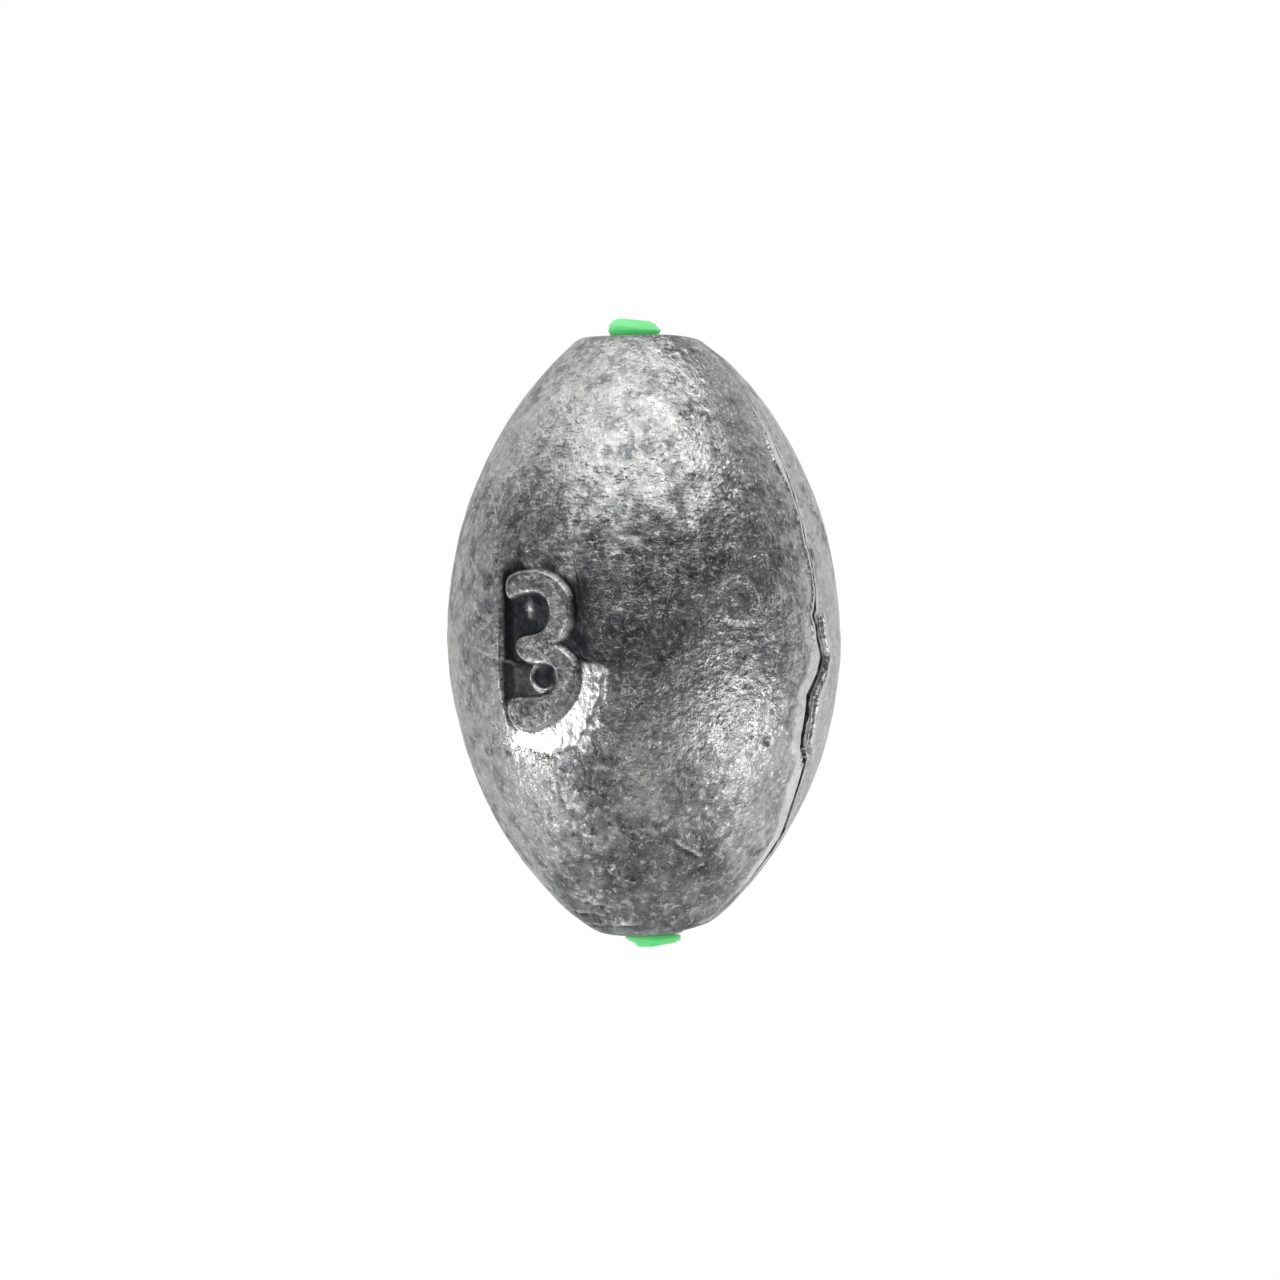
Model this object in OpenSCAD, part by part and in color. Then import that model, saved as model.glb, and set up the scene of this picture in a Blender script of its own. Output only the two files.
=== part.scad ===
// Egg-shaped casting weight for a fishing line, with a plastic sleeve in its line hole.
// The origin is on the axis of the line hole, at mid length of the casting. +Z runs along
// the line hole, and the mould parted in the XZ plane. Millimetres and degrees.

/* [Casting] */
// Largest diameter of the casting
body_d = 21.5; // [18:0.1:25]
// Length of the casting between its two end flats
body_len = 32.6; // [28:0.1:36]
// Diameter of the upper end, before its rim is rounded
top_end_d = 6.6; // [6:0.1:9]
// Height of the widest section above mid length
belly_z = 0.15; // [0:0.05:0.5]
// Radius of the rim round the upper end flat
top_rim_r = 0.55; // [0.2:0.05:1]
// Radius of the rim round the lower end flat
bottom_rim_r = 1.1; // [0.4:0.05:1.5]
// Angle in degrees by which the casting leans from its line hole, within the parting plane
core_lean = 1.2; // [0:0.1:3]

/* [Parting line] */
// How far one mould half sat off the other along X
mould_shift = 0.12; // [0.04:0.02:0.3]
// Height of the flash above the casting at its highest
flash_h = 0.14; // [0.06:0.02:0.3]
// Thickness of the flash
flash_t = 0.4; // [0.2:0.05:0.8]
// Distance from mid length to where the flash starts at the top
flash_up = 10.6; // [7:0.1:12]
// Distance from mid length to where the flash ends at the bottom
flash_down = 12.8; // [9:0.1:13.5]
// Width of the crease behind the flash
crease_w = 0.14; // [0.08:0.02:0.3]
// Depth of the crease behind the flash
crease_depth = 0.16; // [0.08:0.02:0.3]

/* [Gate scar] */
// Length of the scar where the pouring gate broke off
gate_len = 7.8; // [5:0.1:10]
// Width of the scar across the casting
gate_w = 1.3; // [0.8:0.1:2.5]
// Depth of the scar below the casting's side
gate_depth = 0.3; // [0.1:0.05:0.5]
// Distance from mid length down to the scar's middle
gate_down = 2.8; // [1:0.1:5]

/* [Numeral] */
// Direction that the numeral faces, in degrees from -Y towards -X
numeral_turn = 6.5; // [0:0.5:20]
// Distance from mid length down to the numeral's middle
numeral_down = 0.87; // [0:0.05:2.5]
// Height of the numeral
numeral_h = 8.7; // [7.5:0.1:10]
// Radius of the numeral's upper bowl
top_bowl_r = 2.15; // [1.9:0.05:2.4]
// Radius of the numeral's lower bowl
low_bowl_r = 2.3; // [2:0.05:2.6]
// Distance of the upper bowl's middle from the lower one's, towards the open side
bowl_step = 0.25; // [0:0.05:0.5]
// Width of the numeral's stroke
stroke_w = 1.3; // [1:0.05:1.5]
// Height of the foot of the lower bowl below its counter
foot_h = 1.95; // [1.5:0.05:2.2]
// Radius of the upper counter
top_counter_r = 1.1; // [0.8:0.05:1.2]
// Radius of the lower counter
low_counter_r = 0.8; // [0.6:0.05:0.95]
// Length of the middle bar on the open side of the bowls' middle
bar_reach = 1.67; // [1.3:0.05:1.9]
// Length of the middle bar on the closed side of the bowls' middle
bar_back = 1.3; // [1:0.05:1.5]
// How far the numeral stands above the floor of its recess
numeral_rise = 0.4; // [0.2:0.05:0.6]
// Depth of the numeral's face below the casting's side at its middle
numeral_sink = 0.5; // [0.3:0.05:0.8]
// Margin of the recess round the numeral
recess_margin = 0.4; // [0.25:0.05:0.7]
// Corner radius of the recess
recess_corner_r = 1.5; // [0.8:0.1:2]
// Radius of the hollow that runs out of the recess at its lower closed side
hollow_r = 7; // [5:0.5:10]
// Depth of that hollow below the casting's side
hollow_depth = 0.5; // [0.3:0.05:0.7]

/* [Sleeve] */
// Outer diameter of the sleeve
sleeve_d = 2.4; // [2:0.05:3]
// Bore of the sleeve, which the line runs through
sleeve_bore_d = 1.4; // [1.1:0.05:1.6]
// Gap between the sleeve and the casting all round
sleeve_clearance = 0.05; // [0.03:0.01:0.1]
// Diameter of the upper lip
top_lip_d = 2.86; // [2.75:0.02:3.4]
// Height of the upper lip
top_lip_h = 0.86; // [0.6:0.02:1.2]
// Radius of the upper lip's rolled edge
top_lip_round = 0.56; // [0.3:0.02:0.56]
// Diameter of the lower lip
bottom_lip_d = 3.02; // [2.8:0.02:3.4]
// Height of the lower lip
bottom_lip_h = 0.58; // [0.5:0.02:0.9]
// Height of the lower lip's upright edge
bottom_lip_edge = 0.24; // [0.1:0.02:0.4]
// Diameter of the lower lip at its end
bottom_lip_end_d = 1.9; // [1.9:0.05:2.6]
// Radius of the bore's two mouths
mouth_r = 0.14; // [0.06:0.02:0.16]
// Gap between each lip and the end flat it sits on
lip_gap = 0.05; // [0.03:0.01:0.1]

/* [Hidden] */
$fn = 96;
overrun = 1;

top_z = body_len / 2;
bottom_z = -body_len / 2;
// The side is one long arc, with its middle beyond the axis
side_r = arc_r(2 * (top_z - belly_z), (body_d - top_end_d) / 2);
side_x = body_d / 2 - side_r;
// How far each rim's arc lies from the axis
top_rim_x = rim_x(top_z - top_rim_r, top_rim_r);
bottom_rim_x = rim_x(bottom_z + bottom_rim_r, bottom_rim_r);

flash_top = [surface_x(flash_up), flash_up];
flash_bottom = [surface_x(-flash_down), -flash_down];
flash_chord = norm(flash_top - flash_bottom);
flash_sagitta = sagitta(side_r, flash_chord) + flash_h;
flash_r = arc_r(flash_chord, flash_sagitta);
flash_out = [flash_top[1] - flash_bottom[1], flash_bottom[0] - flash_top[0]] / flash_chord;
flash_middle = (flash_top + flash_bottom) / 2 + flash_out * (flash_sagitta - flash_r);

hole_r = sleeve_d / 2 + sleeve_clearance;
sleeve_r = sleeve_d / 2;
sleeve_bore_r = sleeve_bore_d / 2;
top_seat_z = top_z + seat_rise(top_lip_d);
bottom_seat_z = bottom_z - seat_rise(bottom_lip_d);
// The sleeve's wall runs into both lips, as far as their edges stay upright
sleeve_len = top_seat_z - bottom_seat_z + bottom_lip_edge + top_lip_h - top_lip_round;

// The numeral's face is square to the casting's side at its middle
numeral_pitch = asin((belly_z + numeral_down) / side_r);
recess_w = 2 * low_bowl_r + 2 * recess_margin;
recess_h = numeral_h + 2 * recess_margin;
top_bowl = [-bowl_step, numeral_h / 2 - top_bowl_r];
low_bowl = [0, low_bowl_r - numeral_h / 2];
top_counter = [top_bowl[0] + top_bowl_r - stroke_w - top_counter_r,
               numeral_h / 2 - stroke_w - top_counter_r];
low_counter = [low_bowl_r - stroke_w - low_counter_r, foot_h + low_counter_r - numeral_h / 2];
hollow_at = [low_bowl_r / 2, low_bowl[1] - low_bowl_r / 2];
// How far the casting's side has fallen away at the hollow's middle
hollow_drop = sagitta(body_d / 2, 2 * hollow_at[0]) + sagitta(side_r, 2 * hollow_at[1]);
bar_top = top_counter[1] - top_counter_r;
bar_bottom = low_counter[1] + low_counter_r;
cap_r = stroke_w / 2;

// Distance from the axis of the casting's side at height z
function surface_x(z) = side_x + sqrt(pow(side_r, 2) - pow(z - belly_z, 2));
// Distance from the axis of a rim arc's middle at height z
function rim_x(z, r) = side_x + sqrt(pow(side_r - r, 2) - pow(z - belly_z, 2));
// Height at which a rim arc at height z meets the side
function rim_meets(z, r) = belly_z + (z - belly_z) * side_r / (side_r - r);
function sagitta(r, chord) = r - sqrt(r * r - chord * chord / 4);
function arc_r(chord, sagitta) = chord * chord / (8 * sagitta) + sagitta / 2;
// A lip clears its flat all round, although the flat leans with the casting
function seat_rise(lip_d) = lip_gap + lip_d / 2 * tan(core_lean);

// Half outline of the casting, from the axis outwards
module egg_outline() {
    top_meets = rim_meets(top_z - top_rim_r, top_rim_r);
    bottom_meets = rim_meets(bottom_z + bottom_rim_r, bottom_rim_r);
    intersection() {
        translate([side_x, belly_z]) circle(side_r, $fn = 4 * $fn);
        translate([0, bottom_meets]) square([body_d, top_meets - bottom_meets]);
    }
    translate([0, bottom_z]) square([bottom_rim_x, -bottom_z]);
    square([top_rim_x, top_z]);
    translate([top_rim_x, top_z - top_rim_r]) circle(top_rim_r);
    translate([bottom_rim_x, bottom_z + bottom_rim_r]) circle(bottom_rim_r);
}

// One half of the casting, on the side of the parting plane that side gives
module mould_half(side) {
    translate([-side * mould_shift / 2, 0, 0]) intersection() {
        rotate_extrude() egg_outline();
        translate([-body_d, side < 0 ? -body_d : 0, -body_len]) cube([2 * body_d, body_d, 2 * body_len]);
    }
}

// Flash of the front half, which fades out at both its ends
module flash() {
    rotate([90, 0, 0]) linear_extrude(flash_t) intersection() {
        translate(flash_middle) circle(flash_r, $fn = 4 * $fn);
        translate([-flash_middle[0], flash_middle[1]]) circle(flash_r, $fn = 4 * $fn);
        translate([-body_d, -flash_down]) square([2 * body_d, flash_up + flash_down]);
    }
}

// Crease between the flash and the back half, a little longer than the flash
module crease() {
    translate([0, crease_w, 0]) rotate([90, 0, 0]) linear_extrude(crease_w) difference() {
        translate([-body_d, -flash_down - crease_w])
            square([2 * body_d, flash_up + flash_down + 2 * crease_w]);
        intersection() {
            translate([side_x, belly_z]) circle(side_r - crease_depth, $fn = 4 * $fn);
            translate([-side_x, belly_z]) circle(side_r - crease_depth, $fn = 4 * $fn);
        }
    }
}

module gate_scar() {
    translate([surface_x(-gate_down) - mould_shift / 2 - gate_depth, gate_w / 2, -gate_down])
        rotate([0, 90, 0]) linear_extrude(overrun) {
            square([gate_len - gate_w, gate_w], center = true);
            for (end = [-1, 1])
                translate([end * (gate_len - gate_w) / 2, 0]) circle(gate_w / 2);
        }
}

// Carries a flat outline to the numeral's face: X of the outline runs along the casting's
// side, Y runs up, and height 0 is the face of the numeral
module on_numeral_face() {
    rotate([0, 0, -numeral_turn])
        translate([0, -side_x, belly_z]) rotate([90 + numeral_pitch, 0, 0])
            translate([0, 0, side_r - numeral_sink]) children();
}

module numeral() {
    difference() {
        union() {
            translate(top_bowl) circle(top_bowl_r);
            translate(low_bowl) circle(low_bowl_r);
        }
        translate(top_counter) circle(top_counter_r);
        translate(low_counter) circle(low_counter_r);
        translate([-recess_w, bar_top]) square([recess_w + top_counter[0], 2 * top_counter_r - cap_r / 2]);
        translate([-recess_w, low_counter[1] - low_counter_r])
            square([recess_w + low_counter[0], 2 * low_counter_r]);
    }
    translate([-bar_reach + cap_r, bar_bottom]) square([bar_reach + bar_back - cap_r, bar_top - bar_bottom]);
    for (corner_y = [bar_bottom + cap_r, bar_top - cap_r])
        translate([-bar_reach + cap_r, corner_y]) circle(cap_r);
}

module recess() {
    for (size = [[recess_w - 2 * recess_corner_r, recess_h], [recess_w, recess_h - 2 * recess_corner_r]])
        square(size, center = true);
    for (x = [-1, 1], y = [-1, 1])
        translate([x * (recess_w / 2 - recess_corner_r), y * (recess_h / 2 - recess_corner_r)])
            circle(recess_corner_r);
}

// Smooth hollow at the lower corner of the recess, on the numeral's closed side
module hollow() {
    height = numeral_sink + hollow_r - hollow_depth - hollow_drop;
    on_numeral_face() translate([hollow_at[0], hollow_at[1], height]) sphere(hollow_r);
}

module cast_body() {
    color("dimgray") difference() {
        rotate([0, core_lean, 0]) {
            difference() {
                union() {
                    mould_half(-1);
                    mould_half(1);
                    flash();
                }
                crease();
                gate_scar();
                on_numeral_face() translate([0, 0, -numeral_rise]) linear_extrude(side_r) recess();
                hollow();
            }
            on_numeral_face() translate([0, 0, -2 * numeral_rise]) linear_extrude(2 * numeral_rise) numeral();
        }
        translate([0, 0, -body_len]) cylinder(h = 2 * body_len, r = hole_r);
    }
}

// Upper lip, rolled over by the heat that formed it
module top_lip() {
    lip_r = top_lip_d / 2;
    intersection() {
        translate([sleeve_bore_r, 0]) square([lip_r - sleeve_bore_r, top_lip_h]);
        union() {
            square([lip_r, top_lip_h - top_lip_round]);
            square([lip_r - top_lip_round, top_lip_h]);
            translate([lip_r - top_lip_round, top_lip_h - top_lip_round]) circle(top_lip_round);
        }
    }
}

// Lower lip, pressed to a bevel
module bottom_lip() {
    lip_r = bottom_lip_d / 2;
    polygon([[sleeve_bore_r, -bottom_lip_h], [bottom_lip_end_d / 2, -bottom_lip_h],
             [lip_r, -bottom_lip_edge], [lip_r, 0], [sleeve_bore_r, 0]]);
}

// What a rounded mouth takes away at height 0. The bore opens upwards if out is 1, down if -1
module mouth(out) {
    difference() {
        translate([sleeve_bore_r, out > 0 ? -mouth_r : -overrun]) square([mouth_r, mouth_r + overrun]);
        translate([sleeve_bore_r + mouth_r, -out * mouth_r]) circle(mouth_r);
    }
}

module liner_sleeve() {
    color("limegreen") rotate_extrude() difference() {
        union() {
            translate([sleeve_bore_r, bottom_seat_z - bottom_lip_edge])
                square([sleeve_r - sleeve_bore_r, sleeve_len]);
            translate([0, top_seat_z]) top_lip();
            translate([0, bottom_seat_z]) bottom_lip();
        }
        translate([0, top_seat_z + top_lip_h]) mouth(1);
        translate([0, bottom_seat_z - bottom_lip_h]) mouth(-1);
    }
}

cast_body();
liner_sleeve();
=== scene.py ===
"""Scene of an egg-shaped lead sinker with a green plastic sleeve through its line hole.

The casting is one skin. Its half outline is drawn and spun round, and the skin is then worked
over: parting line, gate scar, recess with its numeral, dents, folds and unevenness. Sizes are
millimetres and degrees in the casting's own frame, which leans from the line hole. Finished
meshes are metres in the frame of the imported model.
"""

import logging
import math
from dataclasses import dataclass
from enum import Enum

import bmesh
import bpy
import numpy as np
from mathutils import Matrix, Vector, noise


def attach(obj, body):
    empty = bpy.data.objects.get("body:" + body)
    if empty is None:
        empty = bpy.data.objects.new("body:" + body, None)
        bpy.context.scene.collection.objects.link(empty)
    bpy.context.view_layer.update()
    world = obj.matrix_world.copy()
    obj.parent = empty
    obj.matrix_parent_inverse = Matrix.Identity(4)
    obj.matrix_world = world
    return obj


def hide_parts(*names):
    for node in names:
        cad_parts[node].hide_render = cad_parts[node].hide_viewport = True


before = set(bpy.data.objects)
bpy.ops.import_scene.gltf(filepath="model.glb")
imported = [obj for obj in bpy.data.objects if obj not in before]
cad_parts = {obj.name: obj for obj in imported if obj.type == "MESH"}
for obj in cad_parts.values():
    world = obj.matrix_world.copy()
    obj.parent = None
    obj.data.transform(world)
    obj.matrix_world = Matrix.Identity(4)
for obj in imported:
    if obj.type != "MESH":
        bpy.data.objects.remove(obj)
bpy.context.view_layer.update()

LOG = logging.getLogger("sinker")
MM = 0.001
WELD = 1e-4
ROUND_Z = {"cent": (0.0, 0.0, 0.0), "axis": (0.0, 0.0, 1.0)}
WHITE = (1.0, 1.0, 1.0, 1.0)
EVERY = slice(None)

Array = np.ndarray
BMesh = bmesh.types.BMesh
BMVert = bmesh.types.BMVert
Material = bpy.types.Material
Node = bpy.types.Node
Object = bpy.types.Object
Socket = bpy.types.NodeSocket
Pair = tuple[float, float]
Triple = tuple[float, float, float]
Colour = tuple[float, float, float, float]
Values = dict[str | int, object]


def step(low: float, high: float, value: Array) -> Array:
    """Smooth step: 0 where a value is at low, 1 where it is at high, which may lie below low."""
    share = np.clip((value - low) / (high - low), 0.0, 1.0)
    return share * share * (3.0 - 2.0 * share)


def bell(middle: float, half: float, value: Array) -> Array:
    """Smooth bell: 1 where a value is in the middle, 0.37 where it is half a width from there."""
    return np.exp(-(((value - middle) / half) ** 2))


def soft_min(one: Array, other: Array, blend: float) -> Array:
    """Smaller of two fields, rounded over the blend's width where they cross."""
    share = np.clip(0.5 + 0.5 * (other - one) / blend, 0.0, 1.0)
    return other + (one - other) * share - blend * share * (1.0 - share)


def grain(points: Array, size: float, octaves: int = 1, seed: int = 0) -> Array:
    """Noise of about -1 to 1 at each row of points. Its largest lumps have the given size."""
    away = Vector((17.3 * seed, -9.1 * seed, 5.7 * seed))
    return np.array([noise.fractal(Vector(p) / size + away, 1.0, 2.0, octaves) for p in points.tolist()])


def along(heights: Array, size: float, octaves: int = 1, seed: int = 0) -> Array:
    """Noise like the grain, but it varies with height alone."""
    spots = np.linspace(-20.0, 20.0, 1601)
    return np.interp(heights, spots, grain(np.outer(spots, (0.0, 0.0, 1.0)), size, octaves, seed))


def polar(place: Array) -> tuple[Array, Array]:
    """Distance of each point from the axis, and its turn from -Y towards +X in radians."""
    return np.hypot(place[:, 0], place[:, 1]), np.arctan2(place[:, 0], -place[:, 1])


@dataclass(frozen=True)
class Zone:
    """Stretch of the skin that gets its own spacing of points."""

    middle: float
    half: float
    spacing: float
    fade: float


def crowd(places: Array, ends: Pair, plain: float, zones: tuple[Zone, ...]) -> Array:
    """Slides evenly spaced places along a line, so that they crowd in the zones.

    Args:
        places: places on the line.
        ends: start and end of the line.
        plain: spacing outside the zones.
        zones: the zones with their own spacing.

    Returns:
        The new places, in the same order.
    """
    low, high = ends
    spots = np.linspace(low, high, 8001)
    density = np.full_like(spots, 1.0 / plain)
    for zone in zones:
        near = step(zone.half + zone.fade, zone.half, np.abs(spots - zone.middle))
        density = np.maximum(density, near / zone.spacing)
    total = np.concatenate([[0.0], np.cumsum((density[1:] + density[:-1]) / 2.0)])
    return np.interp(places, low + (high - low) * total / total[-1], spots)


def pull(bm: BMesh, tip: BMVert, way: Vector, edges: int = 1) -> BMVert:
    """Draws a straight line on from a point.

    Args:
        bm: mesh that holds the line.
        tip: point to start from.
        way: vector to the line's end.
        edges: number of edges.

    Returns:
        The line's last point.
    """
    for _ in range(edges):
        tip = bmesh.ops.extrude_vert_indiv(bm, verts=[tip])["verts"][0]
        bmesh.ops.translate(bm, verts=[tip], vec=way / edges)
    return tip


def clean(bm: BMesh) -> None:
    """Closes a spun mesh's seams and poles, and turns its faces outwards."""
    bmesh.ops.remove_doubles(bm, verts=bm.verts[:], dist=WELD)
    bmesh.ops.recalc_face_normals(bm, faces=bm.faces[:])


def read_rows(items: bpy.types.bpy_prop_collection, name: str) -> Array:
    """Reads a vector from every item of a mesh.

    Args:
        items: the mesh's points or normals.
        name: name of the vector.

    Returns:
        The vectors, one a row.
    """
    flat = np.empty(3 * len(items))
    items.foreach_get(name, flat)
    return flat.reshape(-1, 3)


def write_back(mesh: bpy.types.Mesh, place: Array, marks: dict[str, Array]) -> None:
    """Writes a finished piece's points to its mesh in metres, and its marks as attributes.

    Args:
        mesh: mesh that the points were read from.
        place: the points in millimetres.
        marks: shares at the points, by the names under which the materials read them.
    """
    mesh.vertices.foreach_set("co", (place * MM).ravel())
    for name, values in marks.items():
        layer = mesh.attributes.new(name, "FLOAT", "POINT")
        layer.data.foreach_set("value", np.clip(values, -1.0, 1.0).astype(np.float32))
    mesh.update()


@dataclass(frozen=True)
class EggForm:
    """Plain form of the casting: one long arc a side, two rims and two end flats."""

    body_d: float = 21.5
    body_len: float = 32.6
    top_end_d: float = 6.6
    belly: float = 0.15
    top_rim_r: float = 1.2
    bottom_rim_r: float = 2.3
    core_lean: float = 1.2
    hole_r: float = 1.25
    columns: int = 384
    sectors: int = 12
    side_rows: int = 224
    row_gap: float = 0.215
    fine_row_gap: float = 0.088
    fine_rows_down: float = 1.05
    fine_rows_half: float = 5.15
    # Columns crowd at the numeral, at the parting line and, less so, on the side that is seen
    column_gap: float = 0.3
    column_zones: tuple[Zone, ...] = (
        Zone(middle=-6.5, half=16.0, spacing=0.085, fade=5.0),
        Zone(middle=88.0, half=5.0, spacing=0.06, fade=3.0),
        Zone(middle=88.0, half=12.0, spacing=0.12, fade=3.0),
        Zone(middle=-90.0, half=4.0, spacing=0.075, fade=4.0),
        Zone(middle=25.0, half=90.0, spacing=0.21, fade=8.0),
    )

    @property
    def top(self) -> float:
        """Height of the upper end flat."""
        return self.body_len / 2

    @property
    def side_r(self) -> float:
        """Radius of the side's long arc."""
        chord, sagitta = 2 * (self.top - self.belly), (self.body_d - self.top_end_d) / 2
        return chord * chord / (8 * sagitta) + sagitta / 2

    @property
    def side_x(self) -> float:
        """Place of the long arc's middle, measured from the axis towards the arc's own side."""
        return self.body_d / 2 - self.side_r

    def side_at(self, height: float) -> float:
        """Distance of the plain side from the axis at a height."""
        return self.side_x + math.sqrt(max(self.side_r**2 - (height - self.belly) ** 2, 0.0))

    def rim(self, height: float, radius: float) -> tuple[Vector, float]:
        """Middle of a rim's arc at a height, and the angle at which it meets the side, in radians."""
        away = self.side_x + math.sqrt((self.side_r - radius) ** 2 - (height - self.belly) ** 2)
        return Vector((away, 0.0, height)), math.atan2(height - self.belly, away - self.side_x)

    def draw_outline(self, bm: BMesh) -> None:
        """Draws the half outline from the hole's upper edge, round the side and up the hole.

        Args:
            bm: empty mesh that takes the outline.
        """
        upper, upper_meets = self.rim(self.top - self.top_rim_r, self.top_rim_r)
        lower, lower_meets = self.rim(self.bottom_rim_r - self.top, self.bottom_rim_r)
        middle = Vector((self.side_x, 0.0, self.belly))
        tip = bm.verts.new((self.hole_r, 0.0, self.top))
        tip = pull(bm, tip, Vector((upper.x - self.hole_r, 0.0, 0.0)), 5)
        tip = self.turn(bm, tip, upper, math.pi / 2 - upper_meets, 4)
        tip = self.turn(bm, tip, middle, upper_meets - lower_meets, self.side_rows)
        tip = self.turn(bm, tip, lower, math.pi / 2 + lower_meets, 7)
        tip = pull(bm, tip, Vector((self.hole_r - lower.x, 0.0, 0.0)), 5)
        pull(bm, tip, Vector((0.0, 0.0, self.body_len)), 3)
        bmesh.ops.remove_doubles(bm, verts=bm.verts[:], dist=WELD)
        self.crowd_rows(bm, (lower_meets, upper_meets))

    @staticmethod
    def turn(bm: BMesh, tip: BMVert, middle: Vector, angle: float, steps: int) -> BMVert:
        """Draws an arc on from a point and gives its last point. The angle is in radians."""
        made = bmesh.ops.spin(bm, geom=[tip], cent=middle, axis=(0.0, 1.0, 0.0), angle=angle, steps=steps)
        return next(part for part in made["geom_last"] if isinstance(part, BMVert))

    def crowd_rows(self, bm: BMesh, ends: Pair) -> None:
        """Slides the side's points along its arc, so that they crowd over the numeral's height.

        Args:
            bm: mesh that holds the outline.
            ends: angles of the side's two ends, in radians.
        """
        radius = self.side_r
        zone = Zone(middle=-self.fine_rows_down / radius, half=self.fine_rows_half / radius,
                    spacing=self.fine_row_gap, fade=0.05)
        for vert in bm.verts:
            across, up = vert.co.x - self.side_x, vert.co.z - self.belly
            angle = math.atan2(up, across)
            if abs(math.hypot(across, up) - radius) < 10 * WELD and ends[0] < angle < ends[1]:
                moved = float(crowd(np.array([angle]), ends, self.row_gap, (zone,))[0])
                vert.co.x = self.side_x + radius * math.cos(moved)
                vert.co.z = self.belly + radius * math.sin(moved)

    def spun(self) -> BMesh:
        """Spins the outline round into the closed plain skin, with the hole through it."""
        bm = bmesh.new()
        self.draw_outline(bm)
        sector = math.tau / self.sectors
        # A spin of the whole turn in one go takes far longer than one sector and its copies
        bmesh.ops.spin(bm, geom=bm.verts[:] + bm.edges[:], **ROUND_Z, angle=sector,
                       steps=self.columns // self.sectors)
        bmesh.ops.spin(bm, geom=bm.verts[:] + bm.edges[:] + bm.faces[:], **ROUND_Z, angle=math.tau - sector,
                       steps=self.sectors - 1, use_duplicate=True)
        clean(bm)
        return bm


class Skin:
    """Points of the casting's skin as arrays, while it is worked over in its own frame."""

    def __init__(self, mesh: bpy.types.Mesh, form: EggForm) -> None:
        """Reads the plain skin, slides its columns and finds which way is out.

        Args:
            mesh: mesh of the plain skin, in millimetres.
            form: form that the skin was spun from.
        """
        self.form = form
        self.place = read_rows(mesh.vertices, "co")
        self.away, turn = polar(self.place)
        turn = crowd(np.degrees(turn), (-180.0, 180.0), form.column_gap, form.column_zones)
        turn = np.radians(turn)
        self.place[:, 0] = self.away * np.sin(turn)
        self.place[:, 1] = -self.away * np.cos(turn)
        mesh.vertices.foreach_set("co", self.place.ravel())
        mesh.update()
        self.out = read_rows(mesh.vertex_normals, "vector")
        self.away, turn = polar(self.place)
        self.turn = np.degrees(turn)
        self.height = self.place[:, 2].copy()
        self.free = step(form.hole_r + 0.02, form.hole_r + 0.9, self.away)
        self.side = step(0.75, 0.55, np.abs(self.out[:, 2])) * self.free
        # Marks for the material: bright metal, partly worn and partly painted highlight; dark oxide and
        # grime, partly painted shade; and stains mixed with painted shading
        self.burnish, self.oxide, self.patina_and_shading = np.zeros((3, len(self.place)))

    @property
    def gate_side(self) -> Array:
        """Which points lie on the half turn that holds the gate scar."""
        return self.place[:, 0] > 0.0

    def raise_by(self, amount: Array, near: Array | slice = EVERY) -> None:
        """Moves points outwards by an amount, which fades out at the hole."""
        self.place[near] += self.out[near] * (amount * self.free[near])[:, None]

    def polish_and_highlight(self, share: Array, near: Array | slice = EVERY) -> None:
        """Marks where the lead is made bright, from 0 to 1: worn metal and painted highlights."""
        self.burnish[near] = np.maximum(self.burnish[near], share * self.free[near])

    def tarnish_and_shade(self, share: Array, near: Array | slice = EVERY) -> None:
        """Marks where the lead is made dark, from 0 to 1: oxide and grime, and painted shade."""
        self.oxide[near] = np.maximum(self.oxide[near], share)

    def store(self, mesh: bpy.types.Mesh) -> None:
        """Writes points and marks back to the mesh, leaned about the hole.

        Args:
            mesh: mesh that the skin was read from.
        """
        lean = math.radians(self.form.core_lean)
        leaned = (np.array(Matrix.Rotation(lean, 3, "Y")) @ self.place.T).T
        # The end flats keep the hole on its own axis, although they lean with the casting
        near = step(self.form.hole_r + 1.5, self.form.hole_r + 0.02, self.away)
        leaned[:, 0] -= math.sin(lean) * self.place[:, 2] * near
        write_back(mesh, leaned, {"burnish": self.burnish, "oxide": self.oxide, "patina_and_shading": self.patina_and_shading})


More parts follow.
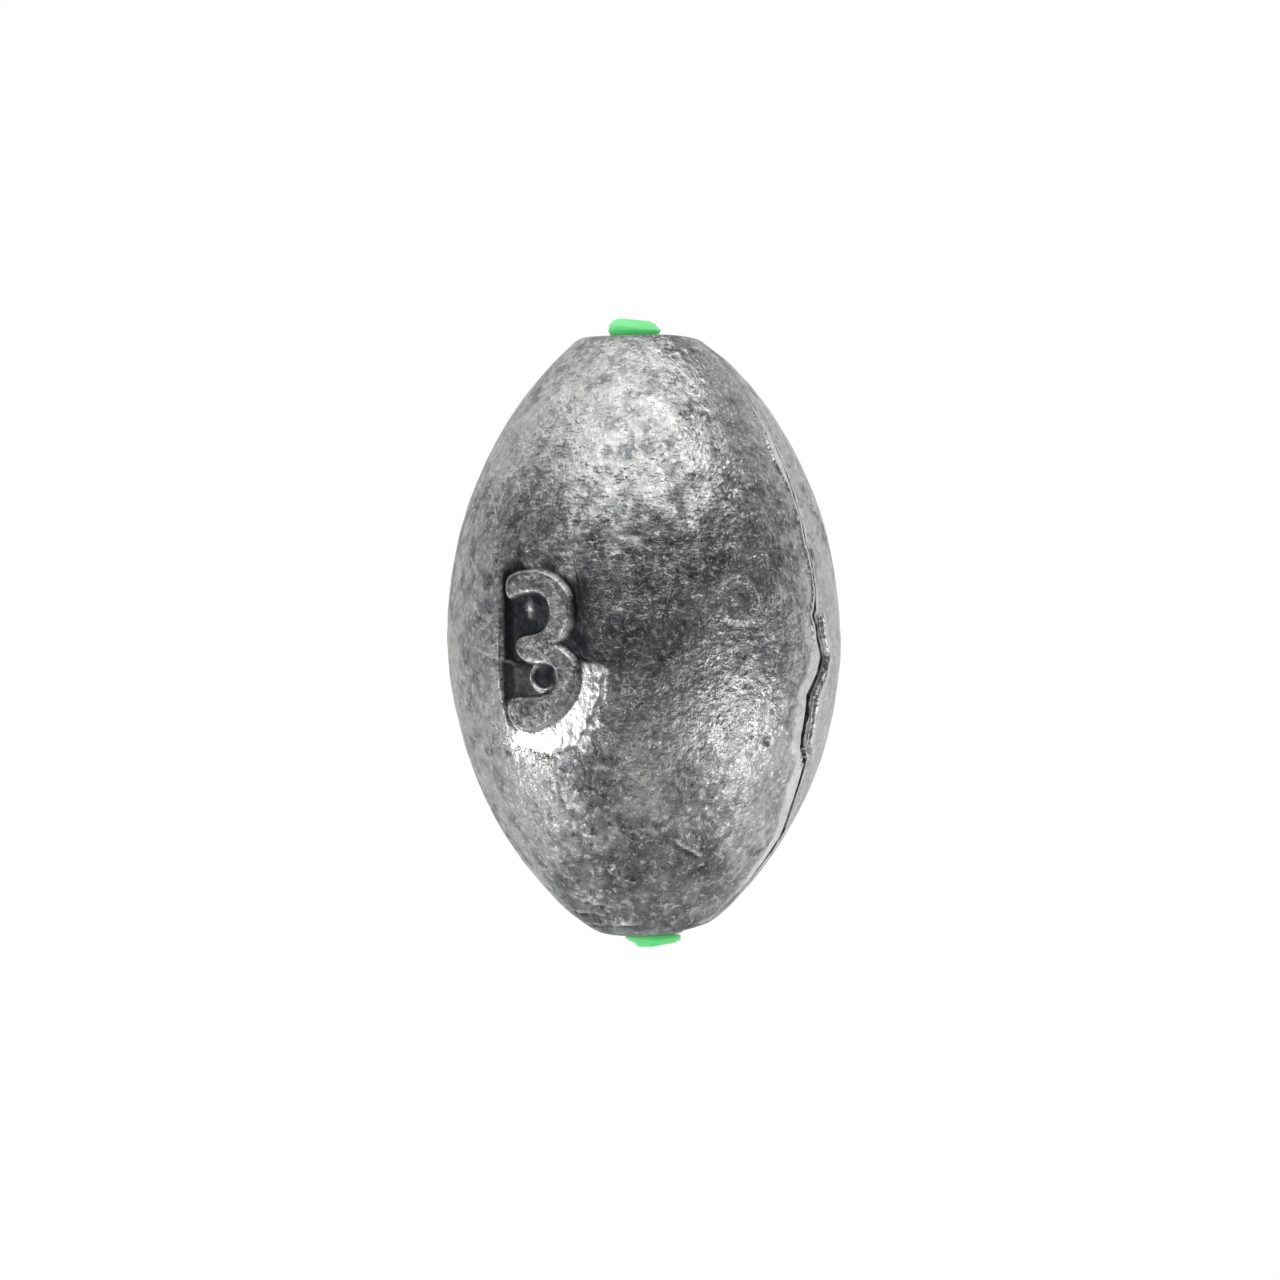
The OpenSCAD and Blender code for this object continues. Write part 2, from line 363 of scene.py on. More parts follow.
@dataclass(frozen=True)
class PartingLine:
    """Line where the two mould halves met: a shift, a flash on the front half, a crack behind it."""

    mould_shift: float = 0.12
    flash_h: float = 0.08
    flash_t: float = 0.4
    flash_up: float = 12.2
    flash_down: float = 14.0
    strip_up: float = 9.5
    strip_half: float = 1.8
    strip_h: float = 0.055
    strip_t: float = 0.42
    crack_w: float = 0.29
    crack_depth: float = 0.42
    foot_down: float = 10.9
    foot_half: float = 1.1
    # Height and turn of the crack on the gate's side, from the top down
    route: tuple[Pair, ...] = (
        (16.0, 87.0), (10.9, 84.9), (9.6, 84.3), (7.7, 84.5), (5.0, 83.9), (3.6, 85.0), (2.3, 85.3),
        (1.0, 82.6), (-0.3, 84.9), (-1.2, 88.0), (-2.2, 86.2), (-3.3, 82.1), (-5.1, 82.8), (-6.1, 83.4),
        (-6.9, 89.2), (-8.1, 90.0), (-9.6, 92.8), (-10.8, 97.0), (-11.8, 97.6), (-16.0, 95.0),
    )

    def behind(self, skin: Skin) -> Array:
        """Distance of each point behind the nearer crack; points of the front half are negative.

        Args:
            skin: skin of the casting.

        Returns:
            Distances in millimetres.
        """
        heights, turns = np.array(self.route[::-1]).T
        gate_crack = skin.turn - np.interp(skin.height, heights, turns)
        far_crack = -skin.turn - 90.0 - 1.2 * along(skin.height, 3.0, 3, seed=4)
        far_crack = np.where(skin.turn > 90.0, far_crack + 360.0, far_crack)
        return np.radians(np.where(skin.gate_side, gate_crack, far_crack)) * skin.away

    def work(self, skin: Skin, behind: Array) -> None:
        """Shifts the halves, raises the flash and opens the crack.

        Args:
            skin: skin of the casting.
            behind: distance of each point behind the crack.
        """
        up, gate_side, before = skin.height, skin.gate_side, -behind
        fade = step(self.flash_up + 1.0, self.flash_up - 1.2, up)
        fade *= step(-self.flash_down - 0.8, -self.flash_down + 1.5, up)
        rough = np.where(gate_side, along(up, 1.1, 3, seed=1), along(up, 1.4, 3, seed=2))
        fine = np.where(gate_side, along(up, 0.8, 2, seed=5), along(up, 0.8, 2, seed=6))
        lower = step(1.0, -2.0, up) * gate_side
        # High on the gate's side the flash is a broad light strip
        strip = bell(self.strip_up, self.strip_half, up) * gate_side
        height = self.flash_h * np.clip(0.75 + 0.9 * rough + 0.3 * fine, 0.12, 1.5) * fade
        width = self.flash_t * np.clip(0.95 + 0.8 * rough + 0.4 * fine, 0.45, 1.7) + self.strip_t * strip
        lip = step(width, (0.45 + 0.4 * strip) * width, before) * step(-0.03, 0.06, before)
        skin.raise_by((height * (1.0 - 0.7 * lower) + self.strip_h * strip) * lip)
        # The crack is widest and deepest beside the gate scar, and wide once more at its foot
        wide = step(2.0, 0.9, up) * step(-7.4, -6.2, up) * gate_side
        foot = bell(-self.foot_down, self.foot_half, up) * gate_side
        gap = self.crack_w * (0.8 + 0.35 * fine + 0.9 * wide * np.clip(0.9 + rough, 0.6, 1.5) + 1.1 * foot)
        depth = self.crack_depth * np.clip(0.85 + 0.4 * rough, 0.5, 1.3) * (0.8 + 0.4 * wide)
        crack = step(-0.02, 0.03, behind) * step(gap + 0.05, gap * 0.75, behind) * fade
        skin.raise_by(-depth * crack * skin.side)
        # The crack and a thin band past it are darkened as painted shade
        skin.tarnish_and_shade(step(-0.02, 0.02, behind) * step(gap + 0.13, gap + 0.05, behind) * fade)
        shift = np.tanh(behind / 0.08) * self.mould_shift / 2 * (1.0 - 0.8 * lower)
        skin.place[:, 0] -= shift * skin.free * np.where(np.abs(skin.place[:, 0]) < 2.0, 0.6, 1.0)
        face = step(1.15 + 0.5 * rough, 0.75 + 0.3 * rough, before) * step(-0.02, 0.05, before) * fade
        skin.polish_and_highlight(face * (0.15 + 0.6 * lower))
        skin.polish_and_highlight(lip * fade * (0.85 + 0.35 * fine - 0.3 * lower - 0.2 * strip))
        edge = step(gap + 0.1, gap + 0.16, behind) * step(gap + 0.42, gap + 0.3, behind)
        skin.polish_and_highlight(0.5 * edge * step(-0.8, 0.0, fine) * fade)
        skin.patina_and_shading += 0.4 * step(0.2, 1.2, behind) * skin.side + 1.2 * strip * lip


@dataclass(frozen=True)
class GateScar:
    """Scar where the pouring gate broke off, just behind the crack."""

    length: float = 7.9
    width: float = 1.35
    depth: float = 0.3
    down: float = 2.7
    edge_h: float = 0.04

    def work(self, skin: Skin, behind: Array) -> None:
        """Breaks the scar's rough band out of the side.

        Args:
            skin: skin of the casting.
            behind: distance of each point behind the crack.
        """
        width = self.width
        from_middle = np.abs(skin.height + self.down)
        inside = step(self.length / 2, self.length / 2 - 0.35, from_middle) * skin.gate_side
        wander = 0.15 * along(skin.height, 1.8, 2, seed=8)
        across = step(-0.02, 0.08, behind) * step(width + wander, width + wander - 0.16, behind)
        torn = grain(skin.place * (1.0, 1.0, 0.6), 0.7, 2, seed=9)
        floor = -self.depth * (0.16 + 0.16 * torn + 0.6 * step(0.4, width, behind))
        skin.raise_by(inside * across * floor)
        skin.tarnish_and_shade(inside * across * 0.4)
        edge = bell(0.1, 0.2, behind - width - wander) * inside
        skin.raise_by(self.edge_h * edge)
        skin.polish_and_highlight(edge * 0.4)
        skin.polish_and_highlight(inside * step(width + 0.9, width + 0.2, behind) * step(width, width + 0.1, behind) * 0.5)


class Loop:
    """Closed smooth curve through given points, kept as many short edges."""

    def __init__(self, corners: tuple[Pair, ...], parts: int = 4) -> None:
        """Draws the curve.

        Args:
            corners: points that the curve runs through, in order.
            parts: number of edges between two of them.
        """
        here = np.array(corners)
        last, ahead, beyond = (np.roll(here, shift, 0) for shift in (1, -1, -2))
        bends = (2 * here, ahead - last, 2 * last - 5 * here + 4 * ahead - beyond,
                 3 * here - last - 3 * ahead + beyond)
        spots = [0.5 * sum(bend * (part / parts) ** power for power, bend in enumerate(bends))
                 for part in range(parts)]
        self.spots = np.stack(spots, 1).reshape(-1, 2)

    def at(self, u: Array, v: Array) -> Array:
        """Signed distance to the curve, negative inside it.

        Args:
            u: places along one way.
            v: places along the other way.

        Returns:
            The distances.
        """
        nearest = np.full(u.shape, np.inf)
        inside = np.zeros(u.shape, dtype=bool)
        for (u_1, v_1), (u_2, v_2) in zip(self.spots, np.roll(self.spots, -1, 0)):
            along_u, along_v = u_2 - u_1, v_2 - v_1
            share = ((u - u_1) * along_u + (v - v_1) * along_v) / (along_u**2 + along_v**2)
            share = np.clip(share, 0.0, 1.0)
            gap = (u - u_1 - share * along_u) ** 2 + (v - v_1 - share * along_v) ** 2
            nearest = np.minimum(nearest, gap)
            crosses = (v_1 > v) != (v_2 > v)
            if crosses.any():
                inside ^= crosses & (u < u_1 + (v - v_1) / (along_v or 1.0) * along_u)
        return np.where(inside, -1.0, 1.0) * np.sqrt(nearest)


@dataclass(frozen=True)
class Numeral:
    """Raised numeral in its recess. u runs along the side, v up, and w out of the numeral's face."""

    turn: float = -6.5
    down: float = 0.87
    rise: float = 0.4
    sink: float = 0.5
    wall: float = 0.12
    reach: Triple = (5.0, 7.2, 3.0)
    pit: Pair = (-0.3, -1.3)
    pit_r: float = 0.68
    shelf_h: float = 0.13
    shelf_low: Pair = (-3.6, -2.6)
    shelf_high: Pair = (-0.3, -0.55)
    shelf_corner: float = 0.2
    # Painted highlights on the strokes' edges: middle, length, width, lean and share
    painted_highlights: tuple[tuple[float, ...], ...] = (
        (1.36, 1.25, 1.4, 0.36, 60.0, 1.0), (1.25, 0.08, 1.6, 0.26, -39.0, 0.95),
        (-1.1, 3.3, 1.2, 0.18, 8.0, 0.8), (-2.28, 3.5, 1.2, 0.2, 88.0, 0.45),
        (-0.8, -0.42, 0.9, 0.24, -5.0, 0.6), (-2.46, -3.1, 1.0, 0.14, 88.0, 0.5),
        (1.45, 3.45, 1.1, 0.14, -55.0, 0.6),
    )
    # Edge of the strokes, clockwise from the lower corner of the upper stroke's end
    strokes: tuple[Pair, ...] = (
        (-2.13, 2.91), (-2.32, 3.23), (-2.38, 3.69), (-2.24, 4.1), (-1.77, 4.34), (-1.17, 4.43),
        (-0.51, 4.45), (0.2, 4.36), (0.78, 4.1), (1.24, 3.69), (1.58, 3.22), (1.75, 2.66), (1.77, 2.1),
        (1.62, 1.54),
        (1.36, 1.04), (0.99, 0.65), (0.7, 0.49), (1.15, 0.18), (1.57, -0.15), (1.86, -0.49), (1.98, -0.94),
        (1.97, -1.45), (1.86, -1.96), (1.63, -2.46), (1.25, -2.94), (0.76, -3.35), (0.14, -3.72),
        (-0.53, -4.03), (-1.15, -4.2), (-1.74, -4.13), (-2.19, -3.86), (-2.45, -3.46), (-2.53, -3.0),
        (-2.39, -2.57), (-1.94, -2.43), (-1.29, -2.41), (-0.57, -2.37), (-0.03, -2.27), (0.37, -2.0),
        (0.61, -1.6), (0.65, -1.14), (0.47, -0.78), (-0.02, -0.61), (-0.61, -0.56), (-1.21, -0.48),
        (-1.65, -0.2), (-1.87, 0.17), (-1.85, 0.51), (-1.6, 0.83), (-1.02, 0.93), (-0.54, 1.02),
        (-0.12, 1.25), (0.2, 1.63), (0.36, 2.11), (0.32, 2.61), (0.08, 3.0), (-0.35, 3.22), (-0.95, 3.28),
        (-1.55, 3.13),
    )
    # Edge of the recess, clockwise from its upper left end
    recess: tuple[Pair, ...] = (
        (-2.62, 5.2), (-2.1, 6.4), (-0.5, 6.9), (1.0, 6.2), (1.8, 5.0), (2.2, 3.5), (2.24, 1.8), (2.2, 0.2),
        (2.45, -0.42), (2.95, -0.55), (3.3, -1.0), (3.3, -1.8), (3.0, -2.7), (2.65, -3.5), (2.15, -4.3),
        (1.3, -5.1), (0.0, -5.5), (-1.5, -5.4), (-2.3, -5.1), (-2.6, -4.4), (-2.68, -1.5), (-2.64, 1.8),
    )

    def axes(self, form: EggForm) -> tuple[Array, Array]:
        """Place and directions of the numeral's face.

        Args:
            form: form of the casting.

        Returns:
            The face's middle, and its u, v and w directions as rows.
        """
        pitch = math.asin((form.belly + self.down) / form.side_r)
        turned = Matrix.Rotation(math.radians(self.turn), 3, "Z")
        u = turned @ Vector((1.0, 0.0, 0.0))
        v = turned @ Vector((0.0, -math.sin(pitch), math.cos(pitch)))
        w = turned @ Vector((0.0, -math.cos(pitch), -math.sin(pitch)))
        middle = turned @ Vector((0.0, -form.side_x, form.belly)) + w * (form.side_r - self.sink)
        return np.array(middle), np.array([u, v, w])

    def work(self, skin: Skin) -> None:
        """Sinks the recess, raises the numeral in it and shades both.

        Args:
            skin: skin of the casting.
        """
        middle, ways = self.axes(skin.form)
        local = (skin.place - middle) @ ways.T
        near = (np.abs(local[:, :2]) < self.reach[:2]).all(1) & (local[:, 2] > -self.reach[2])
        u, v, w = local[near].T
        edge = Loop(self.strokes)
        u, v = self.snap(edge, u, v)
        spots = np.stack([u, v, np.zeros_like(u)], 1)
        lumps, small = grain(spots, 0.9, 3, seed=11), grain(spots, 0.35, 2, seed=12)
        comb = grain(spots * (1.0, 0.3, 1.0), 0.22, 2, seed=13)
        # The recess ends in a steep wall, but its floor runs out above and below the numeral
        low = np.maximum(step(-0.3, -0.8, v) * step(0.0, 1.5, u), step(-3.9, -4.6, v))
        open_end = np.maximum(low, step(3.4, 5.0, v))
        around = Loop(self.recess).at(u, v) + (0.08 + 0.16 * low) * lumps + (0.04 + 0.1 * low) * small
        floor = -self.rise + 0.02 * lumps + (0.006 + 0.003 * low) * comb
        steep = (2.6 - 1.2 * open_end) * (1.0 - 0.3 * low - 0.4 * step(-4.3, -5.0, v))
        past = around + 0.1 * low
        wall = 0.5 * (past + np.hypot(past, 0.06 + 0.12 * step(-2.0, -2.4, u)))
        bed = soft_min(w, floor + steep * wall, 0.06 + 0.28 * open_end + 0.26 * low)
        # A pressed pit with a raised ring, a shelf beside it, and a smear of metal in the upper bowl
        pit = np.hypot(u - self.pit[0], v - self.pit[1]) - self.pit_r
        shelf = self.shelf_at(u, v) + 0.3 * lumps + 0.15 * small
        shelf = step(0.16, -0.16, shelf) * (step(-0.08, 0.04, pit) * step(0.12, 0.0, around))
        ring = bell(0.03, 0.08, pit) * step(0.35, -0.25, u + 0.5 * v + 0.75)
        smear = bell(-1.0, 0.17, u + 0.12 * small) * bell(2.4, 0.38, v)
        bed = bed + self.shelf_h * shelf + 0.09 * ring + 0.05 * smear
        # The numeral stands on the floor, and its worn crown lies just under the plain side
        strokes = edge.at(u, v)
        # Painted highlights on the strokes' edges; the crown is left flat under them
        painted_highlight = self.painted_highlight_at(u, v) * (0.85 + 0.6 * small)
        crown = -0.05 * step(-0.15, 0.0, strokes) * (1.0 - painted_highlight) + 0.02 * lumps + 0.012 * small
        inside = step(self.wall * 0.6, -self.wall * 0.4, strokes)
        lifted = bed + (np.minimum(0.0, w + 0.04) + crown - bed) * inside
        local[near] = np.stack([u, v, lifted], 1)
        skin.place = middle + local @ ways
        # The crown's edge is worn bright and carries painted edge highlights; the ring and the smear are worn
        # bright; the floor below the numeral, where it slopes up, is brightened as a painted highlight
        slope_highlight = step(-0.35, -0.65, v + 0.1 * lumps) * step(0.2, 0.9, u)
        under = step(-3.5, -4.0, v + 0.1 * lumps) * step(-2.9, -2.5, u + 0.1 * lumps)
        slope_highlight = np.maximum(slope_highlight, under)
        flare = step(0.55 + 0.25 * low, -0.45, around + 0.35 * lumps + 0.4 * comb + 0.2 * small)
        flare *= step(0.05, 0.1, strokes) * (1.0 - (0.4 + 0.5 * comb) * step(-2.8, -1.4, v))
        brow = bell(-0.09, 0.055, strokes) * (0.85 + 0.5 * lumps)
        brow = np.maximum(brow, painted_highlight * step(0.1, 0.03, strokes))
        for share in (slope_highlight * flare, brow, ring, smear * (0.8 + 0.4 * small)):
            skin.polish_and_highlight(share, near)
        # The rest of the recess is darkened as grime and painted shade, painted shade lies in a band round
        # its upper and right side and along the foot of the strokes, and oxide dulls the numeral's crown
        off = step(-0.04, 0.02, strokes)
        shade_halo = bell(0.0, 0.4 + 0.45 * step(0.0, 2.0, u), np.maximum(around - 0.05, 0.0))
        shade_halo *= step(-1.0, -0.3, v) * step(-3.0, -2.7, u) * (0.85 + 0.3 * lumps) * off
        high = 1.0 - 0.85 * step(4.2, 5.8, v + 0.8 * lumps + 0.5 * step(0.3, 1.6, u))
        high *= 1.0 - 0.85 * step(-0.06, 0.04, around) * step(-2.0, -2.4, u)
        sunk = step(0.01, 0.08, w - bed)
        dark = np.maximum(sunk * off * (1.0 - slope_highlight) * (1.0 - 0.08 * shelf), shade_halo) * high
        dark = np.maximum(dark, 0.8 * off * step(0.1, 0.05, strokes)) * (1.0 - 0.9 * smear)
        skin.tarnish_and_shade(dark * (1.0 - ring) * (1.0 - painted_highlight * step(0.12, 0.04, strokes)), near)
        face = (0.5 + 0.1 * small) * step(0.02, -0.06, strokes)
        skin.tarnish_and_shade(face * (1.0 - 0.95 * np.clip(painted_highlight, 0.0, 1.0)) * (1.0 - 0.4 * brow), near)

    def shelf_at(self, u: Array, v: Array) -> Array:
        """Signed distance to the shelf's outline, a rectangle with round corners.

        Args:
            u: places along the side.
            v: places up the side.

        Returns:
            The distances, negative inside it.
        """
        over = []
        for spots, low, high in zip((u, v), self.shelf_low, self.shelf_high):
            over.append(np.abs(spots - (low + high) / 2) - (high - low) / 2 + self.shelf_corner)
        outside = np.hypot(np.maximum(over[0], 0.0), np.maximum(over[1], 0.0))
        return outside + np.minimum(np.maximum(*over), 0.0) - self.shelf_corner

    def painted_highlight_at(self, u: Array, v: Array) -> Array:
        """Strength of the painted highlights on the strokes' edges.

        Args:
            u: places along the side.
            v: places up the side.

        Returns:
            Shares of the painted highlight.
        """
        brightest = np.zeros_like(u)
        for at_u, at_v, length, width, lean, share in self.painted_highlights:
            way_u, way_v = math.cos(math.radians(lean)), math.sin(math.radians(lean))
            long = ((u - at_u) * way_u + (v - at_v) * way_v) * 2.0 / length
            wide = ((v - at_v) * way_u - (u - at_u) * way_v) * 2.0 / width
            brightest = np.maximum(brightest, share * np.exp(-(long**4) - wide**2))
        return brightest

    def snap(self, edge: Loop, u: Array, v: Array) -> tuple[Array, Array]:
        """Draws points that lie close to the foot or the brow of the numeral's wall onto it.

        Args:
            edge: edge of the strokes.
            u: places along the side.
            v: places up the side.

        Returns:
            The moved places.
        """
        small, catch = 0.01, 0.075
        u, v = u.copy(), v.copy()
        for level in (self.wall * 0.6, -self.wall * 0.4):
            gap = level - edge.at(u, v)
            close = np.abs(gap) < catch
            a, b, gap = u[close], v[close], gap[close]
            pulled = gap * step(catch, 0.04, np.abs(gap)) / (2 * small)
            u[close] += pulled * (edge.at(a + small, b) - edge.at(a - small, b))
            v[close] += pulled * (edge.at(a, b + small) - edge.at(a, b - small))
        return u, v


class Kind(Enum):
    """Kinds of mark that handling and casting leave on the lead."""

    PIT = "pit"
    BUMP = "bump"
    RING = "ring"
    CRESCENT = "crescent"
    FOLD = "fold"
    SCRATCH = "scratch"
    SLIT = "slit"
    WORN = "worn"


PIT, BUMP, RING, CRESCENT, FOLD, SCRATCH, SLIT, WORN = Kind


@dataclass(frozen=True)
class Mark:
    """One mark on the side, placed by its turn from -Y towards +X and its height."""

    kind: Kind
    turn: float
    height: float
    length: float
    width: float
    lean: float
    depth: float

    def work(self, skin: Skin) -> None:
        """Presses or raises the mark.

        Args:
            skin: skin of the casting.
        """
        form, away = skin.form, skin.form.side_at(self.height)
        turn, lean = math.radians(self.turn), math.radians(self.lean)
        tilt = math.asin(max(-1.0, min(1.0, (self.height - form.belly) / form.side_r)))
        east = np.array([math.cos(turn), math.sin(turn), 0.0])
        up = np.array([-math.sin(tilt) * math.sin(turn), math.sin(tilt) * math.cos(turn), math.cos(tilt)])
        rel = skin.place - (away * math.sin(turn), -away * math.cos(turn), self.height)
        reach = 1.6 * max(self.length, self.width) + 0.5
        near = np.flatnonzero(np.einsum("ij,ij->i", rel, rel) < reach**2)
        a, b = rel[near] @ east, rel[near] @ up
        a, b = a * math.cos(lean) + b * math.sin(lean), b * math.cos(lean) - a * math.sin(lean)
        lift, rub_and_highlight, dull_and_shade = self.profile(2 * a / self.length, 2 * b / self.width)
        skin.raise_by(lift * self.depth, near)
        skin.polish_and_highlight(rub_and_highlight, near)
        skin.tarnish_and_shade(dull_and_shade, near)

    def profile(self, a: Array, b: Array) -> tuple[Array, Array, Array]:
        """Form of the mark over a unit circle.

        Args:
            a: places along the mark, 1 at its end.
            b: places across the mark, 1 at its edge.

        Returns:
            How far it lifts, how bright and how dark it is, as shares.
        """
        q = np.hypot(a, b)
        blob, none, ends = np.exp(-(q**2) * 1.6), np.zeros_like(q), step(1.0, 0.7, np.abs(a))
        if self.kind is PIT:
            rim = bell(1.15, 0.3, q)
            return 0.25 * rim - blob, 0.35 * rim, 0.5 * blob
        if self.kind is BUMP:
            # One side of the bump, its upper side unless it leans, is brightened as painted highlight
            return blob, 0.35 * blob * (b > -0.2), none
        if self.kind is WORN:
            return -blob, none, none
        if self.kind is RING:
            wall = bell(0.85, 0.22, q)
            return wall, 0.3 * wall, 0.25 * step(0.8, 0.4, q)
        if self.kind is CRESCENT:
            wall = bell(0.85, 0.2, q) * step(-0.3, 0.3, b)
            return wall - 0.4 * blob, 0.4 * wall, 0.2 * blob
        if self.kind is FOLD:
            # The fold's lifted edge is brightened, as worn metal and painted highlight, and its crease is
            # darkened as painted shadow
            bend = b - 0.35 * np.sin(2.4 * a)
            crease = np.exp(-((bend + 0.6) ** 2) * 6)
            lift = step(-0.5, 0.1, bend) * step(3.0, 0.1, bend) - 0.8 * crease
            return lift * ends, np.exp(-((bend - 0.1) ** 2) * 7) * ends, 0.65 * crease * ends
        # A slit is a dark line, darkened as painted shade; a scratch is a bright line of fresh metal
        line = np.exp(-((b - 0.25 * np.sin(1.7 * a)) ** 2) * 2.5) * ends
        return (-line, none, 0.9 * line) if self.kind is SLIT else (-line, 0.8 * line, none)


# Kind, turn, height, length, width, lean and depth
MARKS = tuple(Mark(*row) for row in (
    (BUMP, 22.1, 4.9, 1.2, 0.9, 0.0, 0.13), (PIT, 22.1, 5.5, 1.5, 0.4, 6.0, 0.11),
    (BUMP, 9.0, 6.6, 1.4, 1.0, 30.0, 0.08), (PIT, 4.0, 6.1, 0.7, 0.5, 60.0, 0.08),
    (BUMP, 14.0, 7.6, 1.2, 0.9, -40.0, 0.06), (RING, 53.6, 1.9, 2.3, 2.6, 10.0, 0.075),
    (RING, 52.0, 1.3, 1.3, 1.0, 20.0, 0.04), (CRESCENT, 43.1, 8.3, 1.9, 1.3, 15.0, 0.06),
    (PIT, 66.6, -5.7, 0.75, 0.6, 0.0, 0.16), (SCRATCH, 61.5, -5.3, 1.5, 0.22, 88.0, 0.03),
    (FOLD, 43.2, -11.45, 2.2, 0.6, -40.0, 0.15), (BUMP, 39.0, -10.4, 1.8, 0.7, 100.0, 0.07),
    (SCRATCH, 26.8, -1.45, 1.1, 0.18, 8.0, 0.03), (SCRATCH, 31.0, 12.6, 1.9, 0.22, -38.0, 0.035),
    (SCRATCH, 35.0, 12.0, 1.6, 0.2, -50.0, 0.035), (SCRATCH, -25.5, -1.0, 3.1, 0.22, -17.0, 0.035),
    (PIT, 88.0, 4.4, 0.5, 0.9, 0.0, 0.08), (FOLD, -17.0, -15.65, 3.0, 0.6, -4.0, 0.16),
    (FOLD, -24.0, -15.0, 2.6, 0.5, -14.0, 0.1), (FOLD, 5.0, -15.6, 2.2, 0.5, -16.0, 0.14),
    (FOLD, -12.0, -14.4, 2.6, 0.5, -24.0, 0.07), (BUMP, 9.0, -15.35, 1.0, 0.5, 20.0, 0.16),
    (SLIT, -17.0, -15.8, 2.4, 0.26, -6.0, 0.12), (SLIT, -11.0, -15.5, 1.7, 0.22, -32.0, 0.1),
    (SCRATCH, 9.5, -15.4, 0.9, 0.4, 14.0, -0.06), (PIT, 88.3, -6.55, 0.5, 1.0, 0.0, 0.42),
    (WORN, 105.0, 16.1, 6.5, 3.2, 0.0, 0.18), (WORN, 112.0, -15.2, 9.0, 6.0, 0.0, 0.04),
    (WORN, 108.0, -16.5, 5.0, 3.0, 0.0, 0.28), (WORN, -62.0, -15.9, 5.0, 3.0, 0.0, 0.16),
    (FOLD, 62.0, 15.4, 2.6, 0.4, 12.0, 0.06), (FOLD, -150.0, -3.0, 3.8, 0.6, 25.0, 0.05),
    (CRESCENT, 170.0, 5.5, 2.4, 1.7, 60.0, 0.08), (RING, -128.0, 4.2, 2.2, 1.7, -30.0, 0.05),
    (PIT, 140.0, -7.4, 1.0, 0.8, 20.0, 0.12), (SCRATCH, 150.0, 1.5, 4.2, 0.2, -35.0, 0.03),
    (SCRATCH, -160.0, 8.0, 3.4, 0.2, 28.0, 0.03),
))


@dataclass(frozen=True)
class StainAndShading:
    """Soft patch where the lead is darker or lighter than the rest: stains round the back; round the front,
    stains together with painted shade and painted highlights.
    """

    turn: float
    height: float
    wide: float
    tall: float
    share: float

    def work(self, skin: Skin, warp: Array) -> None:
        """Shades the patch.

        Args:
            skin: skin of the casting.
            warp: noise that frays the patch's edge.
        """
        across = np.radians((skin.turn - self.turn + 180.0) % 360.0 - 180.0) * skin.away / self.wide
        up = (skin.height - self.height) / self.tall
        far = across**2 + up**2 + 0.55 * warp
        skin.patina_and_shading += self.share * step(1.5, 0.25, far) * skin.free


# Turn, height, half width, half height and share; a negative share is darker. Round the front the patches are
# partly painted shade and painted highlights
STAINS_AND_SHADING = tuple(StainAndShading(*row) for row in (
    (24.0, -14.2, 6.0, 3.6, -0.9), (4.0, -9.8, 2.9, 5.0, -0.9), (38.0, -12.3, 1.2, 1.0, -0.7),
    (43.0, -10.4, 2.7, 4.6, -0.6), (36.0, 4.2, 3.0, 2.4, -0.5), (57.0, 4.4, 3.2, 3.2, -0.5),
    (44.0, -0.7, 3.6, 1.8, -0.4), (22.0, 2.0, 4.0, 4.6, -0.85), (-6.0, 6.2, 4.4, 2.6, -0.5),
    (-27.0, 0.5, 2.4, 6.0, -0.15), (56.0, -5.7, 3.2, 3.6, 0.5), (-16.5, -7.2, 3.0, 3.5, 0.6),
    (4.0, 10.6, 6.0, 4.2, 0.3), (66.0, 14.6, 2.6, 1.8, 0.6), (130.0, 6.0, 6.0, 4.5, -0.6),
    (172.0, -4.0, 7.0, 5.5, -0.5), (-130.0, 1.0, 5.0, 7.0, -0.5), (-160.0, 9.0, 6.0, 3.5, 0.5),
    (150.0, -10.0, 5.0, 3.0, 0.4),
))


@dataclass(frozen=True)
class Handling:
    """Unevenness of the whole skin, and the small dents of a tackle box."""

    swell: float = 0.055
    lump: float = 0.022
    pebble: float = 0.014
    dents: int = 90
    dents_up: float = 14.5
    # Turn and height of the numeral's surroundings, which get no dents: middle and half
    bare_middle: Pair = (-6.5, -1.0)
    bare_half: Pair = (22.0, 7.0)
    seed: int = 31

    def work(self, skin: Skin) -> None:
        """Works the unevenness and the dents into the skin.

        Args:
            skin: skin of the casting.
        """
        skin.raise_by(self.swell * grain(skin.place, 5.5, 2, seed=21))
        lumps = grain(skin.place, 1.7, 2, seed=22)
        skin.raise_by(self.lump * lumps * (0.4 + 0.6 * skin.side))
        # Pebbles are coarser near the lower end and in a band above the numeral
        coarse = np.maximum(step(-6.0, -9.5, skin.height), 0.45 * bell(6.2, 2.0, skin.height))
        coarse *= step(80.0, 50.0, np.abs(skin.turn - 25.0))
        pebbles = self.pebble * (1.0 + 1.5 * coarse) * grain(skin.place, 0.75, 2, seed=23)
        pebbles += 0.65 * self.pebble * coarse * grain(skin.place, 0.42, 1, seed=24)
        skin.raise_by(pebbles * (0.4 + 0.6 * skin.side))
        # Stains, and patches of painted shade and painted highlight
        for stain_and_shading in STAINS_AND_SHADING:
            stain_and_shading.work(skin, lumps)
        draw = np.random.default_rng(self.seed)
        for _ in range(self.dents):
            turn, height = draw.uniform(-180.0, 180.0), draw.uniform(-self.dents_up, self.dents_up)
            length, lean, depth = draw.uniform(0.35, 1.1), draw.uniform(0.0, 180.0), draw.uniform(0.02, 0.06)
            kind = (PIT, PIT, BUMP, CRESCENT)[int(draw.integers(0, 4))]
            off_turn, off_height = abs(turn - self.bare_middle[0]), abs(height - self.bare_middle[1])
            if off_turn > self.bare_half[0] or off_height > self.bare_half[1]:
                Mark(kind, turn, height, length, length * draw.uniform(0.5, 1.0), lean, depth).work(skin)


